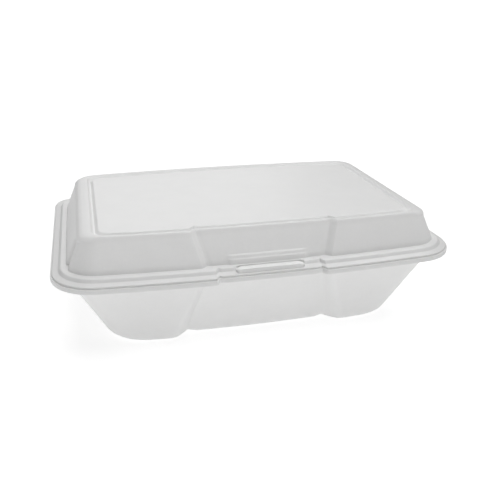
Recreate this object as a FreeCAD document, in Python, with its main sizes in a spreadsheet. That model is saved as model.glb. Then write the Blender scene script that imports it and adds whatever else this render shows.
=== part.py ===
"""Foam food container: a deep rectangular tray and a domed lid, moulded as one sheet
and folded shut along a hinge at the back, with a tab at the front that snaps
through a slot in the lid. The origin is under the middle of the tray, +X along
the long side, +Y towards the hinge, +Z up. All sizes are in millimetres."""
import FreeCAD, Part
import math
import os
import re
import Sketcher

doc = FreeCAD.newDocument("foam_clamshell")

# Driving dimensions
driving_sizes = [
    ("overall_length", 233.4, "tray flange, end to end"),
    ("overall_width", 165.1, "tray flange, front to hinge"),
    ("overall_height", 69.85, "floor to the top of the lid"),
    ("split_height", 47.25, "floor to the faces where tray and lid meet"),
    ("wall", 2.0, "thickness of the moulded foam sheet"),
    ("flange", 1.85, "thickness of each flange, pressed thinner than the walls"),
    ("side_lean", 5.0, "turn of the bowed long sides where they meet a corner, degrees"),
    ("flange_front_radius", 26.0, "front corners of the tray flange in plan"),
    ("flange_back_radius", 16.0, "corners of the flanges beside the hinge"),
    ("flange_notch", 3.15, "depth of the step back in the flanges at the tab"),
    ("flange_notch_half", 28.8, "half length of that step"),
    ("hinge_strip", 1.6, "width of the thinned strip on each side of the fold"),
    ("hinge_thickness", 0.6, "thickness of that strip"),
    ("rim_width_end", 6.7, "tray flange from its edge to the wall, at the ends"),
    ("rim_width_side", 7.5, "tray flange from its edge to the wall, front and back"),
    ("rim_radius", 20.0, "plan corners of the tray wall at the rim"),
    ("foot_length", 176.0, "tray bottom, end to end"),
    ("foot_width", 114.0, "tray bottom, front to back"),
    ("foot_radius", 24.0, "plan corners of the tray bottom"),
    ("foot_edge", 9.0, "rounding of the tray's bottom edge"),
    ("tray_recess_rim", 3.5, "depth of the front recess at the rim"),
    ("tray_recess_foot", 7.0, "depth of the front recess at the bottom"),
    ("tray_recess_half_rim", 33.3, "half length of the front recess at the rim"),
    ("tray_recess_half_foot", 45.5, "half length of the front recess at the bottom"),
    ("tray_recess_slope", 1.0, "run along X of that recess's ends for each mm of depth"),
    ("notch_slope", 1.0, "the same for the ends of the step in the flanges"),
    ("lid_inset", 1.0, "lid flange edge behind the tray flange edge"),
    ("lid_flat_end", 3.5, "flat of the lid flange outside the raised band, ends"),
    ("lid_flat_side", 3.0, "flat of the lid flange outside the raised band, sides"),
    ("band_draft", 1.2, "run of the raised band's outer face"),
    ("band_rise", 2.1, "height of the raised band above the lid flange"),
    ("band_width_end", 2.4, "top of the raised band, at the ends"),
    ("band_width_side", 4.6, "top of the raised band, front and back"),
    ("lid_top_length", 200.0, "lid top, end to end, to the sharp corner"),
    ("lid_top_width", 132.0, "lid top, front to back, to the sharp corner"),
    ("lid_top_radius", 10.0, "plan corners of the lid top"),
    ("lid_edge", 4.5, "rounding of the lid's top edge"),
    ("lid_recess", 2.4, "depth of the recess in the lid's front wall"),
    ("lid_recess_half_low", 33.7, "half length of that recess at the band"),
    ("lid_recess_half_top", 39.0, "half length of that recess at the top"),
    ("lid_recess_slope", 1.7, "run along X of its ends for each mm of depth"),
    ("panel_margin", 6.5, "lid top from the sharp corner to the sunk panel"),
    ("panel_slope", 2.5, "run of the slope down into the sunk panel"),
    ("panel_depth", 1.3, "depth of the sunk panel"),
    ("panel_radius", 7.0, "plan corners of the sunk panel"),
    ("tab_half_length", 19.0, "half length of the snap tab"),
    ("tab_thickness", 3.4, "thickness of the snap tab, front to back"),
    ("tab_front", 2.4, "tab's front face behind the notched flange edge"),
    ("tab_rise", 5.0, "height of the tab above the split"),
    ("tab_crown", 1.5, "rounding of the tab's top"),
    ("tab_clearance", 0.45, "gap between the tab and its slot"),
    ("slot_back", 4.2, "open part of the slot behind the tab"),
    ("pocket_half_length", 21.5, "half length of the finger pocket above the slot"),
    ("pocket_depth", 2.2, "depth of the finger pocket"),
    ("pocket_height", 8.0, "height of the finger pocket above the band"),
    ("pocket_bevel", 2.6, "height of the sloped top of the finger pocket"),
    ("tab_corner", 1.6, "plan corners of the tab"),
    ("band_notch", 2.65, "depth of the step back in the raised band at the tab"),
    ("lid_notch_inset", 0.5, "lid flange edge behind the tray flange edge at the step"),
    ("cut_overrun", 6.0, "how far cutting blocks run past what they cut"),
]

sheet = doc.addObject("Spreadsheet::Sheet", "Sizes")
for row, (alias, number, note) in enumerate(driving_sizes, start=1):
    sheet.set(f"A{row}", alias)
    sheet.set(f"B{row}", str(number))
    sheet.set(f"C{row}", note)
    sheet.setAlias(f"B{row}", alias)
doc.recompute()

# Numbers that name a place in a sketch
START, END, CENTRE = 1, 2, 3
ORIGIN, Y_AXIS = -1, -2
TINY = 0.001
OUTLINE_SIZES = ("end", "front", "back", "front_radius", "back_radius")


def named(text):
    """Put the sheet's name before each driving dimension in an expression."""
    aliases = {alias for alias, _, _ in driving_sizes}
    return re.sub(r"[a-z_]+", lambda word: ("Sizes." if word.group() in aliases else "")
                  + word.group(), text)


def number_of(text):
    """The value of an expression over the driving dimensions."""
    return float(sheet.evalExpression(named(text)))


def bind(item, prop, text):
    """Bind a property to an expression over the driving dimensions."""
    item.setExpression(prop, named(text))


def sketch_on(body, name, role, offset):
    """A sketch on one of the body's own origin planes, moved off it by an expression, or
    a free sketch at a height if no body holds it."""
    if body is None:
        sketch = doc.addObject("Sketcher::SketchObject", name)
        bind(sketch, "Placement.Base.z", offset)
        return sketch
    sketch = body.newObject("Sketcher::SketchObject", name)
    plane = next(item for item in body.Origin.OriginFeatures if item.Role == role)
    sketch.AttachmentSupport = (plane, [""])
    sketch.MapMode = "FlatFace"
    bind(sketch, ".AttachmentOffset.Base.z", offset)
    return sketch


def dimension(sketch, kind, where, text):
    """Add a dimension to a sketch and bind it to an expression."""
    index = sketch.addConstraint(Sketcher.Constraint(kind, *where, number_of(text)))
    bind(sketch, f"Constraints[{index}]", text)


def polygon(body, name, role, offset, corners):
    """A closed outline of straight lines. Each corner is a pair of expressions."""
    sketch = sketch_on(body, name, role, offset)
    points = [FreeCAD.Vector(number_of(across), number_of(up), 0) for across, up in corners]
    for start, stop in zip(points, points[1:] + points[:1]):
        sketch.addGeometry(Part.LineSegment(start, stop), False)
    for i in range(len(points)):
        following = (i + 1) % len(points)
        sketch.addConstraint(Sketcher.Constraint("Coincident", i, END, following, START))
    for i, (across, up) in enumerate(corners):
        dimension(sketch, "DistanceX", (ORIGIN, START, i, START), across)
        dimension(sketch, "DistanceY", (ORIGIN, START, i, START), up)
    return sketch


def outline(body, name, height, plan):
    """A rounded rectangle in plan, counterclockwise from the front: straight ends,
    long sides bowed outwards, and a straight back where the hinge needs one."""
    sketch = sketch_on(body, name, "XY_Plane", height)
    end = number_of(plan["end"])
    lean = math.radians(number_of("side_lean"))

    def bow_text(radius):
        """Radius of a long side that leans by the same angle at its corners in every plan,
        so that the walls between two plans stay smooth across their corners."""
        return f"( {plan['end']} - ( {radius} ) ) / sin( side_lean ) + {radius}"

    def corner(reach, radius, bow, straight):
        """Where a corner's centre lies, and how far its long side leans there."""
        if straight:
            return end - radius, reach - radius, 0.0
        return end - radius, reach - bow + (bow - radius) * math.cos(lean), lean

    def arc(across, up, radius, start, stop):
        circle = Part.Circle(FreeCAD.Vector(across, up, 0), FreeCAD.Vector(0, 0, 1), radius)
        sketch.addGeometry(Part.ArcOfCircle(circle, start, stop), False)

    def line(start, stop):
        first, last = FreeCAD.Vector(*start, 0), FreeCAD.Vector(*stop, 0)
        sketch.addGeometry(Part.LineSegment(first, last), False)

    straight = plan.get("straight_back", False)
    front, back = number_of(plan["front"]), number_of(plan["back"])
    front_radius, back_radius = number_of(plan["front_radius"]), number_of(plan["back_radius"])
    front_bow_text, back_bow_text = bow_text(plan["front_radius"]), bow_text(plan["back_radius"])
    front_bow, back_bow = number_of(front_bow_text), number_of(back_bow_text)
    front_x, front_y, front_lean = corner(front, front_radius, front_bow, False)
    back_x, back_y, back_lean = corner(back, back_radius, back_bow, straight)
    quarter = math.pi / 2

    arc(0, front_bow - front, front_bow, 3 * quarter - front_lean, 3 * quarter + front_lean)
    arc(front_x, -front_y, front_radius, 3 * quarter + front_lean, 4 * quarter)
    line((end, -front_y), (end, back_y))
    arc(back_x, back_y, back_radius, 0, quarter - back_lean)
    if straight:
        line((back_x, back), (-back_x, back))
    else:
        arc(0, back - back_bow, back_bow, quarter - back_lean, quarter + back_lean)
    arc(-back_x, back_y, back_radius, quarter + back_lean, 2 * quarter)
    line((-end, back_y), (-end, -front_y))
    arc(-front_x, -front_y, front_radius, 2 * quarter, 3 * quarter - front_lean)

    sides = range(8)
    front_side, front_right, right, back_right, back_side, back_left, left, front_left = sides
    for side in sides:
        following = (side + 1) % len(sides)
        sketch.addConstraint(Sketcher.Constraint("Tangent", side, END, following, START))
    sketch.addConstraint(Sketcher.Constraint("Vertical", right))
    sketch.addConstraint(Sketcher.Constraint("Vertical", left))
    dimension(sketch, "DistanceX", (ORIGIN, START, right, START), plan["end"])
    dimension(sketch, "DistanceX", (left, START, ORIGIN, START), plan["end"])
    sketch.addConstraint(Sketcher.Constraint("PointOnObject", front_side, CENTRE, Y_AXIS))
    dimension(sketch, "Radius", (front_side,), front_bow_text)
    dimension(sketch, "DistanceY", (ORIGIN, START, front_side, CENTRE),
              f"{front_bow_text} - ( {plan['front']} )")
    if straight:
        sketch.addConstraint(Sketcher.Constraint("Horizontal", back_side))
        dimension(sketch, "DistanceY", (ORIGIN, START, back_side, START), plan["back"])
    else:
        sketch.addConstraint(Sketcher.Constraint("PointOnObject", back_side, CENTRE, Y_AXIS))
        dimension(sketch, "Radius", (back_side,), back_bow_text)
        dimension(sketch, "DistanceY", (back_side, CENTRE, ORIGIN, START),
                  f"{back_bow_text} - ( {plan['back']} )")
    for side in (front_right, front_left):
        dimension(sketch, "Radius", (side,), plan["front_radius"])
    for side in (back_right, back_left):
        dimension(sketch, "Radius", (side,), plan["back_radius"])
    return sketch


def rounded(body, feature, height, radius):
    """Round the edges of a body's feature that lie level at one height."""
    doc.recompute()
    level = number_of(height)
    edges = [f"Edge{i}" for i, edge in enumerate(feature.Shape.Edges, start=1)
             if edge.BoundBox.ZLength < TINY and abs(edge.BoundBox.ZMin - level) < TINY]
    fillet = body.newObject("PartDesign::Fillet", feature.Name + "Round")
    fillet.Base = (feature, edges)
    bind(fillet, "Radius", radius)
    return fillet


def loft(name, draw, low_height, low, high_height, high):
    """A solid that runs straight from one outline to another above it."""
    low_sketch = draw(None, name + "Low", low_height, low)
    high_sketch = draw(None, name + "High", high_height, high)
    result = doc.addObject("Part::Loft", name)
    result.Sections = [low_sketch, high_sketch]
    result.Solid = True
    result.Ruled = True
    return result


def rounded_loft(name, low_height, low, high_height, high, closed, radius):
    """The same between two plans, with the edge of its closed face rounded."""
    straight = loft(name + "Straight", outline, low_height, low, high_height, high)
    doc.recompute()
    body = doc.addObject("PartDesign::Body", name)
    body.BaseFeature = straight
    rounded(body, body.Group[0], closed, radius)
    return body


def pad(name, sketch_maker, length, midplane=False):
    """A body of one outline and its thickness."""
    body = doc.addObject("PartDesign::Body", name)
    feature = body.newObject("PartDesign::Pad", name + "Pad")
    feature.Profile = sketch_maker(body)
    feature.Midplane = midplane
    bind(feature, "Length", length)
    return body, feature


def cut(name, base, *tools):
    for i, tool in enumerate(tools):
        result = doc.addObject("Part::Cut", name if i == 0 else f"{name}{i}")
        result.Base = base
        result.Tool = tool
        base = result
    return base


def fuse(name, *items):
    result = doc.addObject("Part::MultiFuse", name)
    result.Shapes = list(items)
    return result


def inside(plan, gap):
    """The same plan with every side moved inwards by a gap."""
    moved = {key: f"{plan[key]} - {gap}" for key in OUTLINE_SIZES}
    return {**plan, **moved}


def at_share(low, high, share):
    """The plan at a share of the way up from one plan to another."""
    mixed = {key: f"{low[key]} + ( ( {high[key]} ) - ( {low[key]} ) ) * ( {share} )"
             for key in OUTLINE_SIZES}
    return {**low, **mixed}


def stepped_back(plan, depth):
    return {**plan, "front": f"{plan['front']} - {depth}"}


def recess_plan(plan, depth, half, slope):
    """Corners of a front recess in plan: its face lies a depth behind the plan's front
    and is two halves long, and its ends open outwards by a slope."""
    face = f"{plan['front']} - {depth}"
    outer_half = f"{half} + {slope} * ( {depth} + cut_overrun )"
    inner_half = f"{half} - {slope} * cut_overrun"
    outer_y = f"-( {face} + {depth} + cut_overrun )"
    inner_y = f"-( {face} - cut_overrun )"
    return [(f"-( {outer_half} )", outer_y), (outer_half, outer_y),
            (inner_half, inner_y), (f"-( {inner_half} )", inner_y)]


def plan_polygon(body, name, height, corners):
    return polygon(body, name, "XY_Plane", height, corners)


def tub(name, low_height, low, high_height, high, closed, radius, recess, slope):
    """A drafted tub with bowed sides, its closed face rounded, and a recess in its front.
    recess holds the depth and half length at the low and at the high outline."""
    (low_depth, low_half), (high_depth, high_half) = recess
    full = rounded_loft(name, low_height, low, high_height, high, closed, radius)
    core = rounded_loft(name + "Core", low_height, stepped_back(low, low_depth),
                        high_height, stepped_back(high, high_depth), closed, radius)
    block = loft(name + "Block", plan_polygon,
                 low_height, recess_plan(low, low_depth, low_half, slope),
                 high_height, recess_plan(high, high_depth, high_half, slope))
    front_gap = cut(name + "Gap", block, core)
    return cut(name + "Tub", full, front_gap)


def notch(name, height, thickness, line, half):
    """A block that steps a front edge back to a line at the tab, with slanted ends."""
    outer_half = f"{half} + notch_slope * ( overall_width / 2 + cut_overrun - ( {line} ) )"
    outer_y = "-( overall_width / 2 + cut_overrun )"
    corners = [(f"-( {outer_half} )", outer_y), (outer_half, outer_y),
               (half, f"-( {line} )"), (f"-( {half} )", f"-( {line} )")]
    return pad(name, lambda body: plan_polygon(body, name + "Plan", height, corners), thickness)[0]


def bar(name, height, rise, half, front, back, radius, crown=None):
    """An upright bar along X between two distances in front of the middle."""
    corners = [(f"-( {half} )", f"-( {front} )"), (half, f"-( {front} )"),
               (half, f"-( {back} )"), (f"-( {half} )", f"-( {back} )")]
    body, feature = pad(name, lambda owner: plan_polygon(owner, name + "Plan", height, corners),
                        rise)
    doc.recompute()
    upright = [f"Edge{i}" for i, edge in enumerate(feature.Shape.Edges, start=1)
               if edge.BoundBox.ZLength > TINY]
    ends = body.newObject("PartDesign::Fillet", name + "Ends")
    ends.Base = (feature, upright)
    bind(ends, "Radius", radius)
    if crown:
        rounded(body, ends, f"{height} + {rise}", crown)
    return body


def hinge_relief(name, height, thickness):
    """What is pressed away from a flange along the fold."""
    block = doc.addObject("Part::Box", name)
    bind(block, "Length", "overall_length + 2 * cut_overrun")
    bind(block, "Width", "hinge_strip + cut_overrun")
    bind(block, "Height", thickness)
    bind(block, "Placement.Base.x", "-overall_length / 2 - cut_overrun")
    bind(block, "Placement.Base.y", "overall_width / 2 - hinge_strip")
    bind(block, "Placement.Base.z", height)
    return block


# Levels above the floor
band_foot = "split_height + flange"
band_top = "split_height + flange + band_rise"
flange_underside = "split_height - flange"
tab_front_line = "overall_width / 2 - flange_notch - tab_front"

# Bow of the tray flange's front where the step at the tab begins, so that the flange
# reaches its full width beside the step
front_bow = "( ( overall_length / 2 - flange_front_radius ) / sin( side_lean ) + flange_front_radius )"
step_reach = "( flange_notch_half + notch_slope * flange_notch )"
bow_at_step = f"( {front_bow} - sqrt( {front_bow} ^ 2 - {step_reach} ^ 2 ) )"

# Plans of the tray, from the rim down
tray_edge = {
    "end": "overall_length / 2",
    "front": f"overall_width / 2 + {bow_at_step}",
    "back": "overall_width / 2",
    "front_radius": "flange_front_radius",
    "back_radius": "flange_back_radius",
    "straight_back": True,
}
tray_rim = {
    "end": "overall_length / 2 - rim_width_end",
    "front": "overall_width / 2 - rim_width_side",
    "back": "overall_width / 2 - rim_width_side",
    "front_radius": "rim_radius",
    "back_radius": "rim_radius",
}
tray_foot = {
    "end": "foot_length / 2",
    "front": "foot_width / 2",
    "back": "foot_width / 2",
    "front_radius": "foot_radius",
    "back_radius": "foot_radius",
}

# Plans of the lid, from the flange up
lid_edge_plan = {
    **tray_edge,
    "end": "overall_length / 2 - lid_inset",
    "front": tray_edge["front"] + " - lid_inset",
    "front_radius": "flange_front_radius - lid_inset",
}
band_foot_plan = {
    "end": "overall_length / 2 - lid_inset - lid_flat_end",
    "front": "overall_width / 2 - lid_inset - lid_flat_side",
    "back": "overall_width / 2 - lid_inset - lid_flat_side",
    "front_radius": "flange_front_radius - lid_inset - lid_flat_side",
    "back_radius": "flange_back_radius",
}
band_top_plan = inside(band_foot_plan, "band_draft")
lid_foot_plan = {
    "end": band_top_plan["end"] + " - band_width_end",
    "front": band_top_plan["front"] + " - band_width_side",
    "back": band_top_plan["back"] + " - band_width_side",
    "front_radius": band_top_plan["front_radius"] + " - band_width_end",
    "back_radius": band_top_plan["front_radius"] + " - band_width_end",
}
lid_top_plan = {
    "end": "lid_top_length / 2",
    "front": "lid_top_width / 2",
    "back": "lid_top_width / 2",
    "front_radius": "lid_top_radius",
    "back_radius": "lid_top_radius",
}
panel_crest_plan = {**inside(lid_top_plan, "panel_margin"),
                    "front_radius": "panel_radius", "back_radius": "panel_radius"}
panel_floor_plan = {**inside(panel_crest_plan, "panel_slope"),
                    "front_radius": "panel_radius", "back_radius": "panel_radius"}


def make_tray():
    """The deep half, with its flange, the snap tab and its strip of the hinge."""
    recess = (("tray_recess_foot", "tray_recess_half_foot"),
              ("tray_recess_rim", "tray_recess_half_rim"))
    inner_recess = tuple((depth, half + " + wall / 2") for depth, half in recess)
    floor_plan = at_share(tray_foot, tray_rim, "wall / split_height")
    outer = tub("TrayOuter", "0", tray_foot, "split_height", tray_rim,
                "0", "foot_edge", recess, "tray_recess_slope")
    inner = tub("TrayInner", "wall", inside(floor_plan, "wall"),
                "split_height", inside(tray_rim, "wall"),
                "wall", "foot_edge - wall", inner_recess, "tray_recess_slope")
    flange_plate, _ = pad("TrayFlange", lambda body: outline(
        body, "TrayFlangePlan", flange_underside, tray_edge), "flange")
    flange_step = notch("TrayNotch", flange_underside + " - flange", "3 * flange",
                        "overall_width / 2 - flange_notch", "flange_notch_half")
    relief = hinge_relief("TrayHingeRelief", flange_underside, "flange - hinge_thickness")
    flange_part = cut("TrayFlangeCut", flange_plate, flange_step, relief)
    tab = bar("SnapTab", flange_underside, "flange + tab_rise", "tab_half_length",
              tab_front_line, tab_front_line + " - tab_thickness", "tab_corner", "tab_crown")
    solid = fuse("TraySolid", outer, flange_part, tab)
    return cut("TrayHollow", solid, inner)


def pocket_profile(shift, low):
    """Side view of the finger pocket. shift moves its back face inwards for its liner."""
    front_low = f"{lid_foot_plan['front']} - lid_recess"
    lean = f"( {lid_foot_plan['front']} - lid_top_width / 2 ) / ( overall_height - ( {band_top} ) )"
    shoulder = "( pocket_height - pocket_bevel )"
    outside_y = f"-( {front_low} + cut_overrun )"
    back_low_y = f"-( {front_low} - pocket_depth ) + {shift}"
    back_high_y = f"-( {front_low} - pocket_depth - {lean} * {shoulder} ) + {shift}"
    lip_y = f"-( {front_low} - {lean} * pocket_height ) + {shift}"
    top = f"{band_top} + pocket_height"
    return [(outside_y, low), (back_low_y, low), (back_high_y, f"{band_top} + {shoulder}"),
            (lip_y, top), (outside_y, top)]


def pocket_block(name, half, shift, low):
    corners = pocket_profile(shift, low)
    return pad(name, lambda body: polygon(body, name + "Side", "YZ_Plane", "0", corners),
               f"2 * ( {half} )", midplane=True)[0]


def make_lid():
    """The domed half: flange, raised band, walls, finger pocket, slot and sunk top."""
    recess = (("lid_recess", "lid_recess_half_low"), ("lid_recess", "lid_recess_half_top"))
    inner_recess = tuple((depth, half + " + wall / 2") for depth, half in recess)
    rise = f"( overall_height - ( {band_top} ) )"
    low_inner = at_share(lid_foot_plan, lid_top_plan, f"( split_height - ( {band_top} ) ) / {rise}")
    high_inner = at_share(lid_foot_plan, lid_top_plan, f"1 - wall / {rise}")
    ceiling = "overall_height - wall"
    outer = tub("LidOuter", band_top, lid_foot_plan, "overall_height", lid_top_plan,
                "overall_height", "lid_edge", recess, "lid_recess_slope")
    inner = tub("LidInner", "split_height", inside(low_inner, "wall"),
                ceiling, inside(high_inner, "wall"),
                ceiling, "lid_edge - wall", inner_recess, "lid_recess_slope")

    plate, _ = pad("LidFlange", lambda body: outline(
        body, "LidFlangePlan", "split_height", lid_edge_plan), "flange")
    plate_step = notch("LidNotch", "split_height - flange", "3 * flange",
                       "overall_width / 2 - flange_notch - lid_notch_inset", "flange_notch_half")
    relief = hinge_relief("LidHingeRelief", "split_height + hinge_thickness",
                          "flange - hinge_thickness")
    plate_part = cut("LidFlangeCut", plate, plate_step, relief)

    band_line = f"{band_foot_plan['front']} - band_notch"
    band = loft("Band", outline, "split_height", band_foot_plan, band_top, band_top_plan)
    band_step = notch("BandNotch", band_foot, "2 * band_rise", band_line, "flange_notch_half")
    band_part = cut("BandCut", band, band_step)
    band_space = loft("BandSpace", outline, "split_height", inside(band_foot_plan, "wall"),
                         band_top + " - wall", inside(band_top_plan, "wall"))
    space_step = notch("BandSpaceNotch", "split_height - flange", "3 * band_rise",
                       band_line + " - wall", "flange_notch_half + wall / 2")
    space_part = cut("BandSpaceCut", band_space, space_step)

    liner = pocket_block("PocketLiner", "pocket_half_length + wall", "wall", band_top + " - wall")
    panel_boss = loft("PanelBoss", outline, f"{ceiling} - panel_depth",
                         inside(panel_floor_plan, "0"), "overall_height - panel_depth",
                         panel_crest_plan)
    hollow = cut("LidHollow", inner, liner, panel_boss)

    pocket = pocket_block("Pocket", "pocket_half_length", "0", band_top)
    slot = bar("Slot", "split_height - flange", "2 * flange + 2 * band_rise",
               "tab_half_length + tab_clearance", tab_front_line + " + tab_clearance",
               tab_front_line + " - tab_thickness - slot_back", "tab_corner + tab_clearance")
    panel = loft("PanelSink", outline, "overall_height - panel_depth", panel_floor_plan,
                    "overall_height", panel_crest_plan)
    solid = fuse("LidSolid", outer, plate_part, band_part)
    return cut("LidCut", solid, space_part, hollow, pocket, slot, panel)


def sub_part(result, label):
    """Name a finished piece and give it its place."""
    result.Label = label
    result.Placement = FreeCAD.Placement()
    return result


parts = [sub_part(make_tray(), "base_tray"), sub_part(make_lid(), "lid")]
doc.recompute()

for item in doc.Objects:
    if "Invalid" in item.State or "Error" in item.State:
        raise RuntimeError(f"{item.Name} did not compute: {item.State}")
for piece in parts:
    shape = piece.Shape
    if shape.isNull() or not shape.isValid() or len(shape.Solids) != 1:
        raise RuntimeError(f"{piece.Label} is not one valid solid")

os.makedirs("parts", exist_ok=True)
for piece in parts:
    piece.Shape.exportStep(f"parts/{piece.Label}.step")
    box = piece.Shape.BoundBox
    print(piece.Label, f"volume {piece.Shape.Volume:.0f}",
          f"x {box.XMin:.2f} {box.XMax:.2f} y {box.YMin:.2f} {box.YMax:.2f}",
          f"z {box.ZMin:.2f} {box.ZMax:.2f}", f"faces {len(piece.Shape.Faces)}")
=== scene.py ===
import math
import bpy
import numpy as np
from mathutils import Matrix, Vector


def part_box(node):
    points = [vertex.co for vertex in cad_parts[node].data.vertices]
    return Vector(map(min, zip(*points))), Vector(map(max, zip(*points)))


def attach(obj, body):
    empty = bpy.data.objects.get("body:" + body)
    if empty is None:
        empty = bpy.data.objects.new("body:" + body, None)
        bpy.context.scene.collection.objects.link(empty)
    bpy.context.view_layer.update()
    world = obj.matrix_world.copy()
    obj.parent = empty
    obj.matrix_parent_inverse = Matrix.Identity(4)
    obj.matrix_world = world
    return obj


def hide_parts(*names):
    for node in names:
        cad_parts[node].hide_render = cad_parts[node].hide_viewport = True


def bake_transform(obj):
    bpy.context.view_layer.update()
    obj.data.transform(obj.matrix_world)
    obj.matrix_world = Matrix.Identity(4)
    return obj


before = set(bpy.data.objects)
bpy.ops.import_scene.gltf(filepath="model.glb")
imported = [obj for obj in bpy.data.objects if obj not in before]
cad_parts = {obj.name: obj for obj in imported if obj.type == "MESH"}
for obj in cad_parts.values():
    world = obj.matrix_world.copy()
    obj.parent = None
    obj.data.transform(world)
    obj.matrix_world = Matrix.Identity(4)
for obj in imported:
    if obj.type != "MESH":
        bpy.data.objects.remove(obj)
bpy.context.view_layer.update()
mm = 0.001
print("frame loaded")

# The frame gives the outer sizes, the split and the fold
trayHigh = np.array(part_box("base_tray")[1]) / mm
lidLow, lidHigh = (np.array(corner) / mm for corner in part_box("lid"))
splitHeight = lidLow[2]
lidHeight = lidHigh[2]
trayEnd, lidEnd = trayHigh[0], lidHigh[0]
hingeReach = trayHigh[1]

foamSheet = {
    "wall": 2.0,         # thickness of the foam walls
    "flange": 1.85,      # thickness of the pressed flanges
    "hinge": 0.6,        # thickness of the strip along the fold
    "hingeWidth": 1.6,   # width of that strip
    "sideLean": 5.0,     # degrees that a bowed long side turns at its corners
    "roundSteps": 5,     # rows in the rounding of an edge
}

columnSteps = {
    "middle": 8,         # columns before the first rounding of a step in the front
    "slopeEdge": 5,      # columns in the rounding of a step in the front
    "slope": 3,          # columns between two such roundings
    "side": 14,          # columns from the step to the corner
    "corner": 18,
    "end": 16,
    "back": 26,
}

# Share of a step's run that its roundings take
stepEase = {"tray": 0.3, "lid": 0.14}

# The innermost ring beside a pole, as a share of the plan around it
poleShare = 0.04

# What one row of a section holds: the plan, the heights of its front and its back, the step in
# the front (depth, half width, run), the brow's reach, the depth of the crease beside the end
# walls, the share that the step's columns are drawn together, and how hard the foam is pressed,
# which also sets how much painted shade darkens it
fields = ("end", "front", "back", "frontRadius", "backRadius", "backLean", "height",
          "backHeight", "setBack", "half", "run", "hood", "sunk", "spread", "pressed")


# A plan is a rounded rectangle: how far its ends, front and back reach, its corner radii, and
# the degrees that its bowed back turns at the corners
def makePlan(end, front, back, frontRadius, backRadius=None, backLean=foamSheet["sideLean"]):
    return {"end": end, "front": front, "back": back, "frontRadius": frontRadius,
            "backRadius": frontRadius if backRadius is None else backRadius,
            "backLean": math.radians(backLean)}


# The plan with every side moved inwards by a gap, or its back by another one
def inset(plan, gap, backGap=None):
    smaller = {key: plan[key] - gap for key in ("end", "front", "frontRadius", "backRadius")}
    return {**plan, **smaller, "back": plan["back"] - (gap if backGap is None else backGap)}


# The plan at a share of the way from one plan to another
def between(low, high, share):
    return {key: low[key] + (high[key] - low[key]) * share for key in low}


# The plan shrunk towards its middle
def shrunk(plan, share):
    return {key: plan[key] * (1 if key == "backLean" else share) for key in plan}


# A step shrunk with its plan, for the ring beside a pole
def shrunkStep(step, share):
    return {key: step[key] * share for key in step if key != "pressed"}


# One named corner of a section. cut is how much of each adjoining side its rounding takes,
# and spans is how many rows the side after it is split into.
def station(name, plan, height, cut=0.0, spans=1, backHeight=None, setBack=0.0, half=30.0,
            run=3.0, hood=0.0, sunk=0.0, spread=1.0, pressed=0.0):
    return {"name": name, "cut": cut, "spans": spans, **plan, "height": height,
            "backHeight": height if backHeight is None else backHeight, "setBack": setBack,
            "half": half, "run": run, "hood": hood, "sunk": sunk, "spread": spread,
            "pressed": pressed}


# Rows of a section. A corner is the quadratic curve between two points, each a cut away from
# it, and the side after it runs straight to the next corner's curve. A side's length is that of
# its rise and of the mean of its runs at the end and at the front.
def sectionRows(stations):
    corners = np.array([[item[field] for field in fields] for item in stations])
    cuts = np.array([item["cut"] for item in stations])
    steps = np.diff(corners, axis=0)
    end, front, height = (fields.index(name) for name in ("end", "front", "height"))
    lengths = np.hypot((steps[:, end] + steps[:, front]) / 2, steps[:, height])
    enter, leave = corners.copy(), corners.copy()
    enter[1:] -= steps * (cuts[1:] / lengths)[:, None]
    leave[:-1] += steps * (cuts[:-1] / lengths)[:, None]
    t = np.linspace(0, 1, foamSheet["roundSteps"] + 1)[:, None]
    pieces, marks, count = [], {}, 0
    for i, item in enumerate(stations):
        bend = ((1 - t) ** 2 * enter[i] + 2 * t * (1 - t) * corners[i] + t ** 2 * leave[i]
                if cuts[i] else corners[i:i + 1])
        marks[item["name"]] = count + len(bend) // 2
        pieces.append(bend)
        if i + 1 < len(stations):
            share = (np.arange(1, item["spans"]) / item["spans"])[:, None]
            pieces.append(leave[i] + (enter[i + 1] - leave[i]) * share)
            count += len(bend) + item["spans"] - 1
    return np.concatenate(pieces), marks


# The crease between a corner and the sunk end wall beside it: distances along the corner's arc
# from its end, and the depth there as a share of the row's own depth. Where the arc times
# shareOfArc is less than 1, the distances shrink by that factor.
crease = {
    "arc": np.array([9.5, 8.4, 7.0, 5.4, 3.8, 2.4, 1.4, 1.0, 0.7, 0.35, 0.0]),
    "depth": np.array([0.0, 0.04, 0.17, 0.37, 0.6, 0.82, 0.96, 1.0, 0.85, 0.5, 0.22]),
    "shareOfArc": 0.09,
}

# The furrow along the foot of a step: its depth as a share of the step's, its place before the
# step's edge and its width as shares of the step's run
furrow = {"depth": 0.3, "place": 0.25, "width": 0.4}

# The stretch of the back corner, in shares of its turn, where a row passes to its back height
backPass = {"start": 0.35, "length": 0.5}

# Half width, run and ease of the ends of the brow over the slot, for a skin that has no brow
plainEdge = (1.0, 1.0, 0.45)


# A straight ramp from 0 to 1 with its two ends rounded: the mean of the plain ramp over
# a window of twice the ease
def easedRamp(t, ease):
    def area(s):
        return np.where(s < 0, 0, np.where(s < 1, s * s / 2, s - 0.5))
    return (area(t + ease) - area(t - ease)) / (2 * ease)


# How far a bowed side falls back at x: the rise of an arc of that curvature
def sag(x, curvature):
    return curvature * x ** 2 / (1 + np.sqrt(np.maximum(1 - (curvature * x) ** 2, 0)))


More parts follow.
